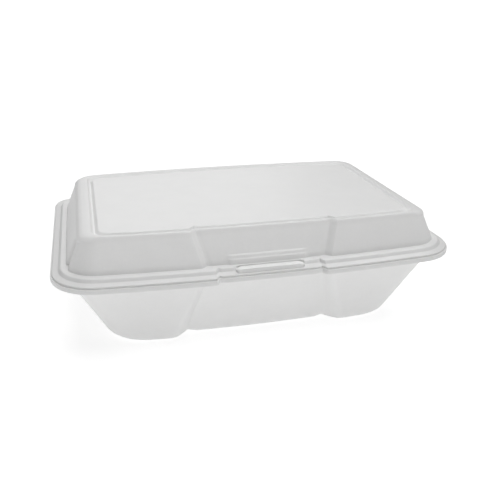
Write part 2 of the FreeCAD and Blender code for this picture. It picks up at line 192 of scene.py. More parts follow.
# Points of all rings, rows by columns, counterclockwise from the middle of the front: an
# arc along the front, a corner arc, a straight end, a corner arc and an arc along the back,
# then their mirror image. fixedKnots are places along the front where columns must lie, with
# the columns before each one. In the middle of the front y steps back by setBack times one
# minus an eased ramp, plus a bell curve for the furrow, and comes forward by the brow's reach
# times one minus its own ramp. In the corners the radius loses the depth of the crease, and
# the height passes from the front's to the back's by 3t^2 - 2t^3.
def ringPoints(rows, fixedKnots, frontLean, ease, hoodEdge):
    row = {field: rows[:, i:i + 1] for i, field in enumerate(fields)}
    lean = np.full_like(row["end"], frontLean)
    curveX = row["end"] - row["frontRadius"]
    sideX = curveX + row["frontRadius"] * np.sin(lean)
    ends = [row["half"] - ease * row["run"], row["half"] + ease * row["run"],
            row["half"] + (1 - ease) * row["run"], row["half"] + (1 + ease) * row["run"], sideX]
    knots = [0 * sideX] + [place * row["spread"] for place, _ in fixedKnots] + ends
    counts = ([count for _, count in fixedKnots] +
              [columnSteps[name] for name in ("middle", "slopeEdge", "slope", "slopeEdge", "side")])
    x = np.concatenate([low + (high - low) * np.arange(count) / count
                        for low, high, count in zip(knots, knots[1:], counts)] + [sideX], axis=1)
    bow = np.sin(lean) / (curveX + row["frontRadius"] * np.sin(lean))
    slope = easedRamp((x - row["half"]) / row["run"], ease)
    fromFurrow = (x - row["half"]) / row["run"] + furrow["place"]
    dip = furrow["depth"] * np.exp(-(fromFurrow / furrow["width"]) ** 2)
    hoodHalf, hoodRun, hoodEase = hoodEdge
    beside = easedRamp((x - hoodHalf * row["spread"]) / hoodRun, hoodEase)
    stepBack = row["setBack"] * (1 - slope + dip)
    y = -(row["front"] - sag(x, bow)) + stepBack - row["hood"] * (1 - beside)

    arcLength = row["frontRadius"] * (math.pi / 2 - lean)
    scale = row["spread"] * np.minimum(1, crease["shareOfArc"] * arcLength / row["spread"])
    last = 1 - crease["arc"] * scale / arcLength
    share = last[:, :1] * np.arange(1, columnSteps["corner"]) / columnSteps["corner"]
    share = np.concatenate([share, last], axis=1)
    turn = lean + (math.pi / 2 - lean) * share
    dent = row["sunk"] * np.append(np.zeros(columnSteps["corner"] - 1), crease["depth"])
    curveY = row["front"] - row["frontRadius"] - curveX * np.tan(lean / 2)
    cornerX = curveX + (row["frontRadius"] - dent) * np.sin(turn)
    cornerY = -(curveY + (row["frontRadius"] - dent) * np.cos(turn))

    backLean = row["backLean"]
    backCurveX = row["end"] - row["backRadius"]
    backCurveY = row["back"] - row["backRadius"] - backCurveX * np.tan(backLean / 2)
    up = np.arange(1, columnSteps["end"] + 1) / columnSteps["end"]
    endY = -curveY + (backCurveY + curveY) * up
    endX = row["end"] - row["sunk"] * crease["depth"][-1] + 0 * up

    backShare = np.concatenate([1 - share[:, -2::-1], np.ones_like(lean)], axis=1)
    backDent = row["sunk"] * np.append(crease["depth"][-2::-1], np.zeros(columnSteps["corner"]))
    backTurn = math.pi / 2 + (backLean - math.pi / 2) * backShare
    backCornerX = backCurveX + (row["backRadius"] - backDent) * np.sin(backTurn)
    backCornerY = backCurveY + (row["backRadius"] - backDent) * np.cos(backTurn)
    backSideX = backCurveX + row["backRadius"] * np.sin(backLean)
    along = 1 - np.arange(1, columnSteps["back"] + 1) / columnSteps["back"]
    backX = backSideX * along
    backBow = np.sin(backLean) / backSideX
    backY = row["back"] - sag(backX, backBow)

    xs = np.concatenate([x, cornerX, endX, backCornerX, backX], axis=1)
    ys = np.concatenate([y, cornerY, endY, backCornerY, backY], axis=1)
    turned = np.clip((backShare - backPass["start"]) / backPass["length"], 0, 1)
    before = x.shape[1] + share.shape[1] + endX.shape[1]
    toBack = np.concatenate([np.zeros((len(rows), before)), turned ** 2 * (3 - 2 * turned),
                             np.ones((len(rows), len(along)))], axis=1)
    zs = row["height"] + (row["backHeight"] - row["height"]) * toBack
    right = np.stack([xs, ys, zs], axis=2)
    left = right[:, -2:0:-1] * (-1, 1, 1)
    return np.concatenate([right, left], axis=1)


# Four-sided faces between neighbouring rows and columns of a grid of vertex numbers
def gridFaces(numbers):
    return np.stack([numbers[:-1, :-1], numbers[1:, :-1], numbers[1:, 1:], numbers[:-1, 1:]],
                    axis=2)


# Three-sided faces from a ring of vertex numbers to one vertex
def fanFaces(ring, pole, first):
    after = np.roll(ring, -1)
    turn = (ring, after) if first else (after, ring)
    return np.stack([np.full(len(ring), pole), *turn], axis=1)


# The hole through the lid: the vertices on both rims move on to a rounded rectangle, and
# rings between them follow a quarter circle, a straight wall and a quarter circle
def holeThrough(points, numbers, marks, columns, hole):
    around = np.concatenate([numbers[:, -columns - 1:-1], numbers[:, :columns + 1]], axis=1)

    def rim(back, front):
        step = 1 if front > back else -1
        inner = np.arange(back, front + step, step)[1:-1]
        return np.concatenate([around[back], around[inner, -1],
                               around[front][::-1], around[inner[::-1], 0]])

    topRim, lowRim = rim(*marks[0]), rim(*marks[1])
    half = np.array([hole["half"] + hole["rim"], (hole["front"] - hole["back"]) / 2 + hole["rim"]])
    middle = np.array([0, -(hole["front"] + hole["back"]) / 2])
    corner = hole["corner"] + hole["rim"]

    def settle(rimNumbers):
        flat = points[rimNumbers, :2] - middle
        core = np.clip(flat, corner - half, half - corner)
        away = (flat - core) / np.linalg.norm(flat - core, axis=1)[:, None]
        points[rimNumbers, :2] = middle + core + away * corner
        return away

    away = settle(topRim)
    settle(lowRim)
    top, low = points[topRim], points[lowRim]
    angle = np.radians([30, 60, 90])[:, None, None]
    outward = np.concatenate([away, np.zeros((len(away), 1))], axis=1)
    inwards = -outward * hole["rim"] * np.sin(angle)
    along = np.array([0, 0, 1.0]) * hole["rim"] * (1 - np.cos(angle))
    down, rise = top + inwards - along, low + inwards + along
    walls = np.concatenate([down, rise[::-1]]).reshape(-1, 3)
    fresh = np.arange(len(walls)).reshape(-1, len(topRim)) + len(points)
    loops = np.concatenate([topRim[None], fresh, lowRim[None]])
    loops = np.concatenate([loops, loops[:, :1]], axis=1)
    return np.concatenate([points, walls]), gridFaces(loops).reshape(-1, 4)


# A mesh object from vertices in millimetres, its faces, and how hard each vertex is pressed, which
# also sets its painted shade
def addPiece(name, vertices, faces, pressed, material, body):
    mesh = bpy.data.meshes.new(name)
    mesh.from_pydata((vertices * mm).tolist(), [], faces)
    # This attribute carries both how hard the foam is pressed and its painted shade
    values = mesh.attributes.new("pressed", "FLOAT", "POINT").data
    values.foreach_set("value", pressed.astype(np.float32))
    mesh.materials.append(material)
    mesh.shade_smooth()
    mesh.update()
    piece = bpy.data.objects.new(name, mesh)
    bpy.context.scene.collection.objects.link(piece)
    if body:
        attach(piece, body)
    return piece


# A closed skin from rows of a section: its grid, a fan at each pole, and a hole if there is
# one. Returns the vertices, the faces and how hard each vertex is pressed, which also sets its
# painted shade.
def closedSkin(stations, fixedKnots, poleHeights, frontLean, ease, hoodEdge=plainEdge,
               hole=None, shift=0.0):
    rows, marks = sectionRows(stations)
    grid = ringPoints(rows, fixedKnots, frontLean, ease, hoodEdge)
    rowCount, columnCount = grid.shape[:2]
    points = grid.reshape(-1, 3)
    numbers = np.arange(rowCount * columnCount).reshape(rowCount, columnCount)
    wrapped = np.concatenate([numbers, numbers[:, :1]], axis=1)
    quads = gridFaces(wrapped)
    rims = []
    if hole:
        columns = hole["columns"]
        keep = np.ones(quads.shape[:2], bool)
        for back, front in hole["marks"]:
            low, high = sorted((marks[back], marks[front]))
            keep[low:high, :columns] = False
            keep[low:high, columnCount - columns:] = False
            rims.append((marks[back], marks[front]))
        quads = quads[keep]
        points, wall = holeThrough(points, wrapped, rims, columns, hole)
        quads = np.concatenate([quads, wall])
    quads = quads.reshape(-1, 4)
    poles = np.array([[0, 0, poleHeights[0]], [0, 0, poleHeights[1]]], float)
    first = fanFaces(numbers[0], len(points), True)
    last = fanFaces(numbers[-1], len(points) + 1, False)
    faces = quads.tolist() + first.tolist() + last.tolist()
    vertices = np.concatenate([points, poles]) + (0, shift, 0)
    pressed = np.zeros(len(vertices))
    # Each row's pressing, which also sets its painted shade, goes to all its vertices
    pressed[:rowCount * columnCount] = np.repeat(rows[:, fields.index("pressed")], columnCount)
    return vertices, faces, pressed


whiteFoam = {
    "cellSize": 0.0007,    # metres
    "cloudSize": 0.011,
    "toneChange": 0.03,
    "tone": 0.87,
    "pressedTone": 0.09,   # painted shade: how much darker the tone is where the foam is pressed and shaded
    "roughness": 0.42,
    "pressedRoughness": 0.08,
    "grainRoughness": 0.25,
    "bumpHeight": 0.00005,
    "bumpStrength": 0.35,
    "glow": 0.12,          # share of light that passes through the foam's skin
    "glowReach": 0.0015,
    "specular": 0.45,
}


# Shader group: the fine cells and cloudy tone of pressed polystyrene foam, and painted shade that
# darkens it where it is marked pressed and shaded
def makeFoamGroup():
    group = bpy.data.node_groups.new("foamSurface", "ShaderNodeTree")
    for way, name, kind in (("INPUT", "Place", "NodeSocketVector"),
                            ("INPUT", "PressedAndShaded", "NodeSocketFloat"),
                            ("INPUT", "Cell Size", "NodeSocketFloat"),
                            ("INPUT", "Cloud Size", "NodeSocketFloat"),
                            ("INPUT", "Tone Change", "NodeSocketFloat"),
                            ("OUTPUT", "Colour", "NodeSocketColor"),
                            ("OUTPUT", "Roughness", "NodeSocketFloat"),
                            ("OUTPUT", "Height", "NodeSocketFloat")):
        group.interface.new_socket(name=name, in_out=way, socket_type=kind)
    nodes, links = group.nodes, group.links
    given, result = nodes.new("NodeGroupInput"), nodes.new("NodeGroupOutput")

    def calculate(operation, first, second=None, third=None):
        node = nodes.new("ShaderNodeMath")
        node.operation = operation
        for i, value in enumerate((first, second, third)):
            if hasattr(value, "default_value"):
                links.new(value, node.inputs[i])
            elif value is not None:
                node.inputs[i].default_value = value
        return node.outputs[0]

    def product(first, second):
        return calculate("MULTIPLY", first, second)

    cells = nodes.new("ShaderNodeTexVoronoi")
    cells.feature = "SMOOTH_F1"
    cells.inputs["Smoothness"].default_value = 0.6
    clouds, grains = nodes.new("ShaderNodeTexNoise"), nodes.new("ShaderNodeTexNoise")
    clouds.inputs["Detail"].default_value = 3
    grains.inputs["Detail"].default_value = 2
    grainSize = product(given.outputs["Cell Size"], 2.6)
    for texture, size in ((cells, given.outputs["Cell Size"]),
                          (clouds, given.outputs["Cloud Size"]), (grains, grainSize)):
        links.new(given.outputs["Place"], texture.inputs["Vector"])
        links.new(calculate("DIVIDE", 1.0, size), texture.inputs["Scale"])
    # How hard the foam is pressed, which also sets its painted shade
    pressed, fromCell = given.outputs["PressedAndShaded"], cells.outputs["Distance"]
    grain = calculate("SUBTRACT", grains.outputs["Fac"], 0.5)
    cloud = calculate("SUBTRACT", clouds.outputs["Fac"], 0.5)

    # Height: cells and grain, flatter where the foam is pressed
    cellHeight = calculate("SUBTRACT", 0.6, fromCell)
    loose = calculate("SUBTRACT", 1.0, product(pressed, 0.6))
    relief = product(calculate("ADD", cellHeight, product(grain, 0.8)), loose)

    # Tone: clouds, grain and cells around the foam's own, darker by painted shade where it is
    # pressed and shaded: on the flanges, the band, the wall's foot, the grooves, the flange's
    # underside and the top's edges
    change = calculate("ADD", product(cloud, 1.3), product(grain, 0.9))
    change = calculate("ADD", change, product(calculate("SUBTRACT", fromCell, 0.45), 0.5))
    tone = calculate("ADD", product(change, given.outputs["Tone Change"]), whiteFoam["tone"])
    # painted shade: the tone drops where the foam is marked pressed and shaded
    tone = calculate("SUBTRACT", tone, product(pressed, whiteFoam["pressedTone"]))
    colour = nodes.new("ShaderNodeCombineColor")
    for channel, factor in (("Red", 1.0), ("Green", 1.0), ("Blue", 0.995)):
        links.new(product(tone, factor), colour.inputs[channel])

    rough = calculate("MULTIPLY_ADD", grain, whiteFoam["grainRoughness"], whiteFoam["roughness"])
    rough = calculate("SUBTRACT", rough, product(pressed, whiteFoam["pressedRoughness"]))
    links.new(colour.outputs[0], result.inputs["Colour"])
    links.new(rough, result.inputs["Roughness"])
    links.new(relief, result.inputs["Height"])
    return group


def makeFoamMaterial(group):
    material = bpy.data.materials.new("whiteFoam")
    material.use_nodes = True
    nodes, links = material.node_tree.nodes, material.node_tree.links
    shader = nodes["Principled BSDF"]
    place, surface = nodes.new("ShaderNodeTexCoord"), nodes.new("ShaderNodeGroup")
    surface.node_tree = group
    # How hard the foam is pressed, which also sets its painted shade
    pressed = nodes.new("ShaderNodeAttribute")
    pressed.attribute_name = "pressed"
    bump = nodes.new("ShaderNodeBump")
    links.new(place.outputs["Object"], surface.inputs["Place"])
    links.new(pressed.outputs["Fac"], surface.inputs["PressedAndShaded"])
    surface.inputs["Cell Size"].default_value = whiteFoam["cellSize"]
    surface.inputs["Cloud Size"].default_value = whiteFoam["cloudSize"]
    surface.inputs["Tone Change"].default_value = whiteFoam["toneChange"]
    links.new(surface.outputs["Colour"], shader.inputs["Base Color"])
    links.new(surface.outputs["Roughness"], shader.inputs["Roughness"])
    links.new(surface.outputs["Height"], bump.inputs["Height"])
    links.new(bump.outputs["Normal"], shader.inputs["Normal"])
    bump.inputs["Distance"].default_value = whiteFoam["bumpHeight"]
    bump.inputs["Strength"].default_value = whiteFoam["bumpStrength"]
    shader.inputs["Subsurface Weight"].default_value = whiteFoam["glow"]
    shader.inputs["Subsurface Radius"].default_value = (1, 1, 1)
    shader.inputs["Subsurface Scale"].default_value = whiteFoam["glowReach"]
    shader.inputs["Specular IOR Level"].default_value = whiteFoam["specular"]
    return material


foam = makeFoamMaterial(makeFoamGroup())
print("foam material ready")

# Both flanges step back beside the tab
tabNotch = {"half": 29.2, "run": 1.8, "depth": 2.5}

# Bowed front: the flange reaches its full width beside that step
flangeRadius, flangeBackRadius = 26.0, 16.0
frontLean = math.radians(foamSheet["sideLean"])
flangeBow = math.sin(frontLean) / (trayEnd - flangeRadius + flangeRadius * math.sin(frontLean))
flangeFront = hingeReach + float(sag(tabNotch["half"] + tabNotch["run"], flangeBow))

trayForm = {
    "rimInsetEnd": 6.7, "rimInsetSide": 7.5, "rimRadius": 20.0,
    "footEnd": 88.0, "footSide": 58.0, "footRadius": 24.0,
    "footCut": 4.2, "innerFootCut": 2.9,   # how far the bottom's rounding reaches
    "rimRecess": 3.5, "footRecess": 7.0,
    "rimRecessHalf": 33.3, "footRecessHalf": 45.5,
    "edgeCut": 0.22, "lipCut": 0.6, "entryCut": 1.3, "underCut": 0.9,
    "lip": 0.9, "lipWidth": 1.0,           # the flange's edge turned down
    "lipSlope": 0.4,
    "foldGap": 0.4,                        # strip's edge before the fold line
}


def makeTray():
    wall, form = foamSheet["wall"], trayForm
    edge = makePlan(trayEnd, flangeFront, hingeReach, flangeRadius, flangeBackRadius, 0.0)
    edge["back"] -= form["foldGap"]
    rimSide = hingeReach - form["rimInsetSide"]
    rim = makePlan(trayEnd - form["rimInsetEnd"], rimSide, rimSide, form["rimRadius"])
    foot = makePlan(form["footEnd"], form["footSide"], form["footSide"], form["footRadius"])
    underside = splitHeight - foamSheet["flange"]
    lipLow = underside - form["lip"]
    stripFloor = splitHeight - foamSheet["hinge"]
    stripGap = foamSheet["hingeWidth"] - form["foldGap"]

    def recess(depth, half):
        return {"setBack": depth, "half": half, "run": depth}

    rimStep = recess(form["rimRecess"], form["rimRecessHalf"])
    footStep = recess(form["footRecess"], form["footRecessHalf"])
    innerRim = {**rimStep, "half": rimStep["half"] + wall / 2}
    innerFoot = {**footStep, "half": footStep["half"] + wall / 2}
    # pressed 1.0 also paints shade on the tray's flange
    flangeStep = {"setBack": tabNotch["depth"], "half": tabNotch["half"], "run": tabNotch["run"],
                  "pressed": 1.0}
    floorPlan = inset(between(foot, rim, wall / splitHeight), wall)
    # The pressed values of these rows also paint shade: on the flange, the rim's entry and under
    # the flange
    stations = [
        station("floorMiddle", shrunk(floorPlan, poleShare), wall, spans=10, spread=poleShare,
                **shrunkStep(innerFoot, poleShare)),
        station("floorEdge", floorPlan, wall, form["innerFootCut"], 14, **innerFoot),
        station("entry", inset(rim, wall), splitHeight, form["entryCut"], 4, pressed=0.6,
                **innerRim),
        station("edgeTop", edge, splitHeight, form["edgeCut"], 1, **flangeStep),
        station("edgeLow", edge, lipLow, form["lipCut"], 1, stripFloor, **flangeStep),
        station("strip", inset(edge, form["lipWidth"], stripGap), lipLow, 0.2, 1, stripFloor,
                **flangeStep),
        station("stripRise", inset(edge, form["lipWidth"] + form["lipSlope"],
                                   stripGap + form["lipSlope"]), underside, 0.1, 3,
                **flangeStep),
        station("under", between(foot, rim, underside / splitHeight), underside,
                form["underCut"], 16, pressed=0.4, **rimStep),
        station("foot", foot, 0.0, form["footCut"], 10, **footStep),
        station("bottomMiddle", shrunk(foot, poleShare), 0.0, spread=poleShare,
                **shrunkStep(footStep, poleShare)),
    ]
    skin = closedSkin(stations, [], (wall, 0.0), frontLean, stepEase["tray"])
    piece = addPiece("trayShell", *skin, foam, "base")
    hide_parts("base_tray")


makeTray()
print("tray made")

snapTab = {
    "half": 19.0, "front": 77.9, "back": 73.5,   # reach from the middle
    "rise": 3.45, "crownCut": 1.5, "corner": 2.15, "barDrop": 1.75,
    "heelEnd": 0.3, "heelBack": 1.0,             # the slope behind the bar
    "heelRise": 2.9, "heelBackRise": 2.1,
    "footBack": 2.2, "footRise": 1.3,
    "buried": 1.2,                               # how deep it stands in the flange
    "poleShare": 0.05,
}


def makeSnapTab():
    depth = (snapTab["front"] - snapTab["back"]) / 2
    plan = makePlan(snapTab["half"], depth, depth, snapTab["corner"], backLean=0.0)
    heel = {**inset(plan, -snapTab["heelEnd"]), "back": depth + snapTab["heelBack"]}
    foot = {**heel, "back": depth + snapTab["footBack"]}
    top = splitHeight + snapTab["rise"]
    low = splitHeight - snapTab["buried"]
    small = snapTab["poleShare"]
    flat = {"half": snapTab["half"] / 2, "run": 3.0}   # no step: only where the columns lie
    middle = {**shrunkStep(flat, small), "spread": small}
    stations = [
        station("crown", shrunk(plan, small), top, spans=3, **middle),
        station("crownEdge", plan, top, snapTab["crownCut"], 2, **flat),
        station("bar", plan, top - snapTab["barDrop"], **flat),
        station("heel", heel, splitHeight + snapTab["heelRise"], 0.1, 1,
                splitHeight + snapTab["heelBackRise"], **flat),
        station("foot", foot, splitHeight + snapTab["footRise"], 0.2, 1, **flat),
        station("buried", foot, low, 0.0, 2, **flat),
        station("underMiddle", shrunk(foot, small), low, **middle),
    ]
    skin = closedSkin(stations, [], (top, low), 0.0, stepEase["tray"],
                      shift=-(snapTab["front"] + snapTab["back"]) / 2)
    addPiece("snapTab", *skin, foam, "base")


makeSnapTab()
print("snap tab made")

lidForm = {
    "inset": 1.0,                    # lid flange inside the tray flange
    "flatEnd": 3.4, "flatSide": 2.9, # flange outside the raised band
    "bandDraft": 1.3, "bandRise": 2.1, "bandWidthEnd": 2.4, "bandWidthSide": 4.6,
    "bandCut": 0.7,
    "bandFall": 0.15, "flangeFall": 0.7,   # how much the band and the flange slope outwards
    "footDrop": 0.5, "slotDrop": 0.35,     # the band's inner edge and the slot under its height
    "stripSlope": 0.5,                     # run of the slope down to the strip along the fold
    "topEnd": 100.0, "topSide": 66.0, "topRadius": 10.0,
    "radiusLoss": 0.3,               # the top's radius shrinks by this share of the gap
    "recess": 2.4, "recessHalfLow": 33.9, "recessHalfTop": 39.2, "recessRun": 3.0,
    "bandStep": 2.65, "edgeStep": 2.5,
    "sunk": 1.2, "sunkFoot": 2.7,    # depth of the crease beside the end walls, top and foot
    "sunkHeight": 65.9, "sunkRise": 0.5,   # where it begins, and the height in which it does
    "bossGap": 0.8, "bossDrop": 1.1, "bossSlope": 2.2,   # the panel's groove seen from inside
    "foldGap": 0.4,
}

# The top, from its outer edge inwards: how far each line lies inside the edge at the ends, the
# front and the back, its depth under the top and the rounding there. The ends are a quarter
# of an ellipse.
lidTop = {
    "roundFoot": (-1.0, -0.86, -0.86, 2.37, 0.4),
    "roundLow": (0.34, -0.47, -0.4, 1.29, 0.5),
    "roundHigh": (2.4, -0.05, 0.1, 0.48, 0.5),
    "edge": (4.7, 0.45, 1.2, 0.04, 0.5),
    "bead": (6.7, 1.5, 3.6, 0.0, 0.5),
    "grooveOut": (8.2, 3.0, 5.2, 1.6, 0.25),
    "grooveIn": (8.8, 4.4, 7.0, 1.6, 0.25),
    "panel": (10.6, 5.3, 11.5, 0.12, 0.5),
}

# The brow over the slot: half width, width and ease of its rounded ends, and its steps as
# height, reach in front of the wall and rounding
slotHood = {
    "half": 20.6, "run": 2.6, "ease": 0.45,
    "steps": ((55.95, 0.0, 0.2), (55.35, 0.6, 0.25), (53.9, 0.62, 0.2), (53.4, 0.98, 0.25)),
    "reach": 1.0,
}

tabSlot = {
    "half": 19.5, "front": 78.3, "back": 72.15, "corner": 2.7, "rim": 0.35,
    "closeColumns": 2.2,   # stretch before its ends where the columns lie close together
}


def makeLid():
    wall, flange, form, hood = foamSheet["wall"], foamSheet["flange"], lidForm, slotHood
    edge = makePlan(lidEnd, flangeFront - form["inset"], hingeReach,
                    flangeRadius - form["inset"], flangeBackRadius, 0.0)
    edge["back"] -= form["foldGap"]
    side = hingeReach - form["inset"] - form["flatSide"]
    radius = flangeRadius - form["inset"] - form["flatSide"]
    bandFoot = makePlan(lidEnd - form["flatEnd"], side, side, radius, flangeBackRadius)
    bandTop = inset(bandFoot, form["bandDraft"])
    wallSide = bandTop["front"] - form["bandWidthSide"]
    wallFoot = makePlan(bandTop["end"] - form["bandWidthEnd"], wallSide, wallSide,
                        bandTop["frontRadius"] - form["bandWidthEnd"])
    top = makePlan(form["topEnd"], form["topSide"], form["topSide"], form["topRadius"])

    flangeTop = splitHeight + flange
    bandHeight = flangeTop + form["bandRise"]
    stripTop = splitHeight + foamSheet["hinge"]
    stripGap = foamSheet["hingeWidth"] - form["foldGap"]
    rise = lidHeight - bandHeight
    ceiling = lidHeight - wall

    # The wall's plan, its recess and the depth of its crease at a height
    def onWall(height):
        return between(wallFoot, top, (height - bandHeight) / rise)

    def wallStep(height):
        share = (height - bandHeight) / rise
        half = form["recessHalfLow"] + (form["recessHalfTop"] - form["recessHalfLow"]) * share
        return {"setBack": form["recess"], "half": half, "run": form["recessRun"]}

    def sunkAt(height):
        share = (height - bandHeight) / (form["sunkHeight"] - bandHeight)
        return form["sunkFoot"] + (form["sunk"] - form["sunkFoot"]) * share

    # The recess seen from inside
    def innerStep(height):
        step = wallStep(height)
        return {**step, "half": step["half"] + wall / 2}

    topStep = wallStep(lidHeight)
    # The pressed values of the band, the flange and the wall's foot also paint shade there
    notch = {"half": tabNotch["half"], "run": tabNotch["run"]}
    bandStep = {"setBack": form["bandStep"], **notch, "pressed": 0.8}
    edgeStep = {"setBack": form["edgeStep"], **notch, "pressed": 1.0}
    underStep = {**bandStep, "half": tabNotch["half"] + wall / 2}
    lowWall = bandHeight - wall

    # The slot's rim, as shares of the way between the rows on both sides of it
    rimBack, rimFront = tabSlot["back"] - tabSlot["rim"], tabSlot["front"] + tabSlot["rim"]
    wallReach = wallFoot["front"] - form["recess"] + hood["reach"]
    bandReach = bandTop["front"] - form["bandStep"]
    footReach = bandFoot["front"] - form["bandStep"]
    edgeReach = edge["front"] - form["edgeStep"]
    backShare = (rimBack - wallReach) / (bandReach - wallReach)
    frontShare = (rimFront - footReach) / (edgeReach - footReach)
    footCorner = {**wallStep(bandHeight), "hood": hood["reach"], "sunk": form["sunkFoot"],
                  "pressed": 0.6}
    innerWall = inset(onWall(lowWall), wall)
    innerFoot = {**innerStep(lowWall), "hood": hood["reach"], "sunk": form["sunkFoot"]}
    innerReach = innerWall["front"] - form["recess"] + hood["reach"]
    spaceReach = bandTop["front"] - wall - form["bandStep"]
    spaceFootReach = bandFoot["front"] - wall - form["bandStep"]
    innerBackShare = (rimBack - innerReach) / (spaceReach - innerReach)
    innerFrontShare = (rimFront - spaceFootReach) / (edgeReach - spaceFootReach)

    # The step at a share of the way from one row's step to another's
    def mixed(low, high, share):
        keys = ("setBack", "half", "run", "hood", "sunk", "pressed")
        return {key: low.get(key, 0.0) + (high.get(key, 0.0) - low.get(key, 0.0)) * share
                for key in keys}

    # Plan, height and rounding of a line of the top
    def topLine(name):
        endGap, frontGap, backGap, depth, cut = lidTop[name]
        radius = form["topRadius"] - form["radiusLoss"] * endGap
        plan = {**top, "end": top["end"] - endGap, "front": top["front"] - frontGap,
                "back": top["back"] - backGap, "frontRadius": radius, "backRadius": radius}
        return plan, lidHeight - depth, cut

    # Height of the flange's sloping top
    def flangeAt(share):
        return flangeTop - form["flangeFall"] * share

    slopeGap = stripGap + form["stripSlope"]
    slotFront = between(bandFoot, edge, frontShare)
    slotFront["back"] = (bandFoot["back"] + edge["back"] - slopeGap) / 2
    panel, panelHeight, panelCut = topLine("panel")
    boss = inset(topLine("grooveOut")[0], -form["bossGap"])
    bossHeight = ceiling - form["bossDrop"]
    sunkHeight = form["sunkHeight"]
    sunkTop = sunkHeight + form["sunkRise"]
    (hoodHigh, _, highCut), *hoodLow = hood["steps"]
    # The pressed values of the groove, the bead and the top's roundings also paint shade there
    stations = [
        station("panelMiddle", shrunk(panel, poleShare), panelHeight, spans=12,
                spread=poleShare, **shrunkStep(topStep, poleShare)),
        station("panel", panel, panelHeight, panelCut, 1, **topStep),
        station("grooveIn", *topLine("grooveIn"), 1, **topStep),
        station("grooveOut", *topLine("grooveOut"), 1, **topStep, pressed=0.3),
        station("bead", *topLine("bead"), 1, **topStep, pressed=0.5),
        station("edge", *topLine("edge"), 1, **topStep, pressed=0.5),
        station("roundHigh", *topLine("roundHigh"), 1, **topStep, pressed=0.4),
        station("roundLow", *topLine("roundLow"), 1, **wallStep(lidHeight - 1.3), pressed=0.3),
        station("roundFoot", *topLine("roundFoot"), 1, **wallStep(lidHeight - 2.4), pressed=0.2),
        station("sunkTop", onWall(sunkTop), sunkTop, 0.15, 1, **wallStep(sunkTop)),
        station("sunkLow", onWall(sunkHeight), sunkHeight, 0.15, 8, **wallStep(sunkHeight),
                sunk=sunkAt(sunkHeight)),
        station("hoodTop", onWall(hoodHigh), hoodHigh, highCut, 1, **wallStep(hoodHigh),
                sunk=sunkAt(hoodHigh)),
        *[station(f"hoodStep{i}", onWall(height), height, cut, 2, **wallStep(height),
                  hood=reach, sunk=sunkAt(height))
          for i, (height, reach, cut) in enumerate(hoodLow)],
        station("wallFoot", wallFoot, bandHeight - form["footDrop"], 0.2, 1, **footCorner),
        station("slotBack", between(wallFoot, bandTop, backShare), bandHeight - form["slotDrop"],
                0.0, 5, **mixed(footCorner, bandStep, backShare)),
        station("bandTop", bandTop, bandHeight - form["bandFall"], form["bandCut"], 1,
                **bandStep),
        station("bandFoot", bandFoot, flangeTop, 0.35, 1, **{**bandStep, "pressed": 1.0}),
        station("slotFront", slotFront, flangeAt(0.7), 0.0, 1,
                **mixed(bandStep, edgeStep, frontShare)),
        station("stripRise", inset(edge, 0.6, slopeGap), flangeAt(0.8), **edgeStep),
        station("strip", inset(edge, 0.5, stripGap), flangeAt(0.85), backHeight=stripTop,
                **edgeStep),
        station("edgeTop", edge, flangeAt(1.0), 0.35, 1, stripTop, **edgeStep),
        station("edgeLow", edge, splitHeight, 0.12, 1, **edgeStep),
        station("slotFrontUnder", between(inset(bandFoot, wall), edge, innerFrontShare),
                splitHeight, 0.0, 1, **mixed(underStep, edgeStep, innerFrontShare)),
        station("spaceFoot", inset(bandFoot, wall), splitHeight, 0.6, 1, **underStep),
        station("spaceTop", inset(bandTop, wall), lowWall, 0.6, 5, **underStep),
        station("slotBackUnder", between(innerWall, inset(bandTop, wall), innerBackShare), lowWall,
                0.0, 1, **mixed(innerFoot, underStep, innerBackShare)),
        station("innerFoot", innerWall, lowWall, 0.7, 4, **innerFoot),
        station("innerHood", inset(onWall(hoodHigh), wall), hoodHigh, 0.4, 8,
                **innerStep(hoodHigh), sunk=sunkAt(hoodHigh)),
        station("innerSunk", inset(onWall(sunkHeight), wall), sunkHeight, 0.2, 1,
                **innerStep(sunkHeight), sunk=sunkAt(sunkHeight)),
        station("ceilingEdge", inset(onWall(ceiling), wall), ceiling, 1.0, 1, **innerStep(ceiling)),
        station("bossFoot", inset(boss, -form["bossSlope"]), ceiling, 0.8, 1,
                **innerStep(ceiling)),
        station("bossEdge", boss, bossHeight, 0.8, 10, **innerStep(ceiling)),
        station("ceilingMiddle", shrunk(boss, poleShare), bossHeight, spread=poleShare,
                **shrunkStep(innerStep(ceiling), poleShare)),
    ]

    # Columns lie close together at the slot's corners and at the brow's ends
    rimHalf = tabSlot["half"] + tabSlot["rim"]
    knots = [(rimHalf - tabSlot["closeColumns"], 14), (rimHalf, 8), (hood["half"] - 0.3, 3),
             (hood["half"] + hood["run"] * 0.5, 5), (hood["half"] + hood["run"] * 1.5, 6)]
    columns = sum(count for place, count in knots if place <= rimHalf)
    hole = {**tabSlot, "columns": columns,
            "marks": (("slotBack", "slotFront"), ("slotBackUnder", "slotFrontUnder"))}
    skin = closedSkin(stations, knots, (panelHeight, bossHeight), frontLean, stepEase["lid"],
                      (hood["half"], hood["run"], hood["ease"]), hole)
    piece = addPiece("lidShell", *skin, foam, "lid")
    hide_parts("lid")


makeLid()
print("lid made")

foldStrip = {
    "radius": 0.6, "thickness": 0.28,
    "end": 100.7,                # half its length
    "steps": 60, "turns": 12,    # faces along it and around it
}


